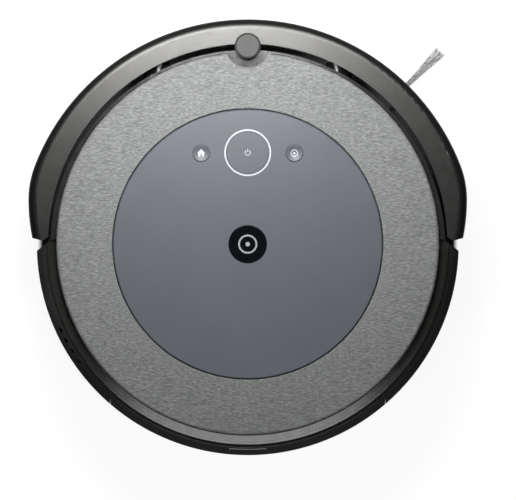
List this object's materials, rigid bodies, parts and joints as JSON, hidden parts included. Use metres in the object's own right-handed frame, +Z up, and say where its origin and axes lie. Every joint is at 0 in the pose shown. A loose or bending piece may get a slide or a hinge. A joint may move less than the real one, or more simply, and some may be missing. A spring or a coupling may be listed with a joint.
{
  "type": "robot vacuum cleaner",
  "caption": "Disc-shaped robot vacuum with a woven-look top ring, satin faceplate with buttons, sprung bumper, side brush, wheels and dust bin.",
  "frame": {"origin": "on the floor, under the middle of the machine's overall length and width; the upright axis midway between the drive wheels is 5 mm behind it", "axes": "+X to the machine's right, +Y to its front, the bumper side, +Z up"},
  "size_m": [0.3372, 0.3358, 0.092],
  "materials": {
    "matte_black": "satin moulded",
    "housing_black": "satin moulded",
    "woven_grey": "woven texture",
    "plate_grey": "satin",
    "badge_black": "gloss",
    "light_white": "translucent",
    "button_grey": "satin",
    "board_green": "solder mask",
    "battery_dark": "wrapped cells",
    "graphite": "metallic satin",
    "lens_black": "dark clear",
    "cap_grey": "satin",
    "steel": "brushed",
    "motor_steel": "plated",
    "tyre_rubber": "moulded rubber",
    "roller_rubber": "moulded rubber",
    "grey_plastic": "satin",
    "bristle": "nylon",
    "bin_smoke": "smoked",
    "filter_paper": "pleated",
    "contact_metal": "plated"
  },
  "bodies": {
    "robot_body": {"lower_chassis": "matte_black", "upper_housing": "housing_black", "fabric_ring": "woven_grey", "faceplate": "plate_grey", "badge": "badge_black", "light_ring": "light_white", "control_board": "board_green", "main_board": "board_green", "battery_pack": "battery_dark", "battery_door": "matte_black", "blower_housing": "grey_plastic", "blower_motor": "motor_steel", "speaker": "matte_black", "side_brush_motor": "grey_plastic", "floor_sensor_windows": "lens_black", "charging_contacts": "contact_metal", "chassis_screws": "steel", "head_frame": "grey_plastic", "head_motor": "motor_steel", "suction_duct": "grey_plastic", "wheel_housing_left": "matte_black", "wheel_housing_right": "matte_black", "suspension_pins": "steel", "drop_springs": "steel", "bump_switches": "grey_plastic", "roller_bearings": "grey_plastic"},
    "bumper": {"bumper_shell": "graphite", "bumper_window": "lens_black", "bumper_springs": "steel", "sensor_lens": "lens_black", "sensor_cap": "cap_grey"},
    "clean_button": {"clean_button": "button_grey"},
    "home_button": {"home_button": "button_grey"},
    "spot_button": {"spot_button": "button_grey"},
    "arm_left": {"drive_arm_left": "grey_plastic", "drive_motor_left": "motor_steel"},
    "arm_right": {"drive_arm_right": "grey_plastic", "drive_motor_right": "motor_steel"},
    "wheel_left": {"wheel_hub_left": "grey_plastic", "tyre_left": "tyre_rubber"},
    "wheel_right": {"wheel_hub_right": "grey_plastic", "tyre_right": "tyre_rubber"},
    "caster": {"caster_fork": "matte_black", "caster_axle": "steel"},
    "caster_wheel": {"caster_wheel": "matte_black"},
    "guard": {"brush_guard": "matte_black"},
    "guard_latch": {"guard_latch": "grey_plastic"},
    "roller_front": {"roller_front_core": "matte_black", "roller_front_sleeve": "roller_rubber"},
    "roller_rear": {"roller_rear_core": "matte_black", "roller_rear_sleeve": "roller_rubber"},
    "side_brush": {"side_brush_hub": "grey_plastic", "side_brush_bristles": "bristle", "side_brush_screw": "steel"},
    "bin": {"bin_body": "bin_smoke", "bin_cover": "housing_black", "bin_filter": "filter_paper"},
    "bin_release": {"bin_release": "housing_black"},
    "evac_flap": {"evac_flap": "grey_plastic"},
    "impeller": {"impeller": "grey_plastic"}
  },
  "joints": [
    {"name": "bumper_press", "type": "slide", "parent": "robot_body", "child": "bumper", "axis": [0, -1, 0], "range_m": [0, 0.0035], "stiffness_N_per_m": 400, "springref_m": -0.004},
    {"name": "clean_button_press", "type": "slide", "parent": "robot_body", "child": "clean_button", "axis": [0, 0, -1], "range_m": [0, 0.0008], "stiffness_N_per_m": 800, "springref_m": -0.001},
    {"name": "home_button_press", "type": "slide", "parent": "robot_body", "child": "home_button", "axis": [0, 0, -1], "range_m": [0, 0.0008], "stiffness_N_per_m": 800, "springref_m": -0.001},
    {"name": "spot_button_press", "type": "slide", "parent": "robot_body", "child": "spot_button", "axis": [0, 0, -1], "range_m": [0, 0.0008], "stiffness_N_per_m": 800, "springref_m": -0.001},
    {"name": "suspension_left", "type": "hinge", "parent": "robot_body", "child": "arm_left", "pos_m": [-0.0949, 0.039, 0.034], "axis": [1, 0, 0], "range_deg": [0, 20], "stiffness_Nm_per_rad": 0.35, "springref_deg": 22.92},
    {"name": "suspension_right", "type": "hinge", "parent": "robot_body", "child": "arm_right", "pos_m": [0.0949, 0.039, 0.034], "axis": [1, 0, 0], "range_deg": [0, 20], "stiffness_Nm_per_rad": 0.35, "springref_deg": 22.92, "deforming": ["side_brush_bristles"]},
    {"name": "drive_wheel_left", "type": "hinge", "parent": "arm_left", "child": "wheel_left", "pos_m": [-0.117, -0.005, 0.036], "axis": [1, 0, 0], "continuous": true},
    {"name": "drive_wheel_right", "type": "hinge", "parent": "arm_right", "child": "wheel_right", "pos_m": [0.117, -0.005, 0.036], "axis": [1, 0, 0], "continuous": true},
    {"name": "caster_swivel", "type": "hinge", "parent": "robot_body", "child": "caster", "pos_m": [0, 0.112, 0.036], "axis": [0, 0, 1], "continuous": true},
    {"name": "caster_roll", "type": "hinge", "parent": "caster", "child": "caster_wheel", "pos_m": [0, 0.104, 0.015], "axis": [1, 0, 0], "continuous": true},
    {"name": "guard_open", "type": "hinge", "parent": "robot_body", "child": "guard", "pos_m": [0, 0.0076, 0.0086], "axis": [1, 0, 0], "range_deg": [0, 95]},
    {"name": "guard_latch_slide", "type": "slide", "parent": "guard", "child": "guard_latch", "axis": [0, 1, 0], "range_m": [0, 0.002], "stiffness_N_per_m": 200, "springref_m": -0.001},
    {"name": "roller_front_spin", "type": "hinge", "parent": "robot_body", "child": "roller_front", "pos_m": [0, -0.0125, 0.0165], "axis": [1, 0, 0], "continuous": true},
    {"name": "roller_rear_spin", "type": "hinge", "parent": "robot_body", "child": "roller_rear", "pos_m": [0, -0.0455, 0.0165], "axis": [1, 0, 0], "continuous": true},
    {"name": "side_brush_spin", "type": "hinge", "parent": "robot_body", "child": "side_brush", "pos_m": [0.097, 0.092, 0.008], "axis": [0, 0, 1], "continuous": true},
    {"name": "bin_pull", "type": "slide", "parent": "robot_body", "child": "bin", "axis": [0, -1, 0], "range_m": [0, 0.11]},
    {"name": "bin_release_press", "type": "slide", "parent": "bin", "child": "bin_release", "axis": [0, 1, 0], "range_m": [0, 0.002], "stiffness_N_per_m": 500, "springref_m": -0.001},
    {"name": "evac_flap_open", "type": "hinge", "parent": "bin", "child": "evac_flap", "pos_m": [0.03, -0.126, 0.0162], "axis": [1, 0, 0], "range_deg": [0, 70], "stiffness_Nm_per_rad": 0.002, "springref_deg": -5.73},
    {"name": "impeller_spin", "type": "hinge", "parent": "robot_body", "child": "impeller", "pos_m": [-0.097, -0.087, 0.046], "axis": [1, 0, 0], "continuous": true}
  ],
  "couplings": [
    {"joint": "roller_rear_spin", "follows": "roller_front_spin", "ratio": -1}
  ]
}
